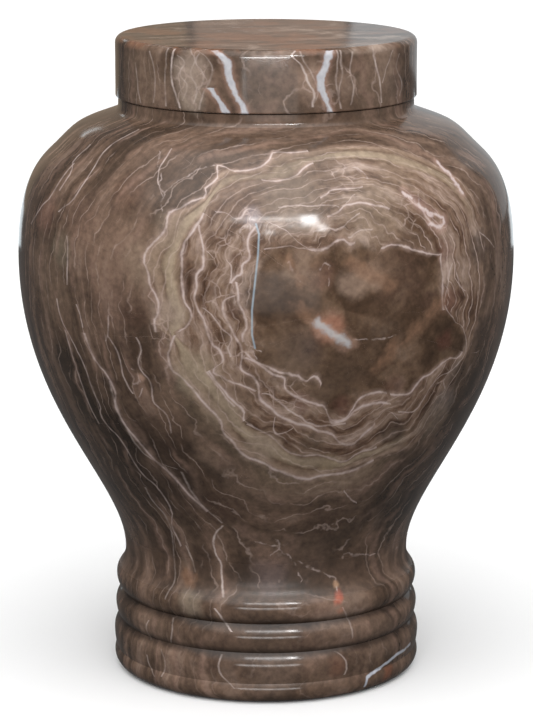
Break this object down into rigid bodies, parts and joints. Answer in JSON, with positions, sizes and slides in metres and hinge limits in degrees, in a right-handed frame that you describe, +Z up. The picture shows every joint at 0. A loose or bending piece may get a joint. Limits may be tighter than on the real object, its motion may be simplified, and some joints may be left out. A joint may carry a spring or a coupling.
{
  "type": "marble urn",
  "caption": "Turned urn in polished brown veined marble, with a full belly, rounded foot mouldings and a thick flat lid that lifts off.",
  "frame": {"origin": "centre of the flat underside, on the surface the urn stands on", "axes": "+Z up along the turning axis, +X to the right and -Y towards the viewer; the urn is round, so X and Y are free"},
  "size_m": [0.2, 0.2, 0.26],
  "materials": {
    "marble": "polished brown marble with tan bands and pale blue and pink veins"
  },
  "bodies": {
    "root": {"body": "marble", "lid": "marble"}
  },
  "joints": []
}
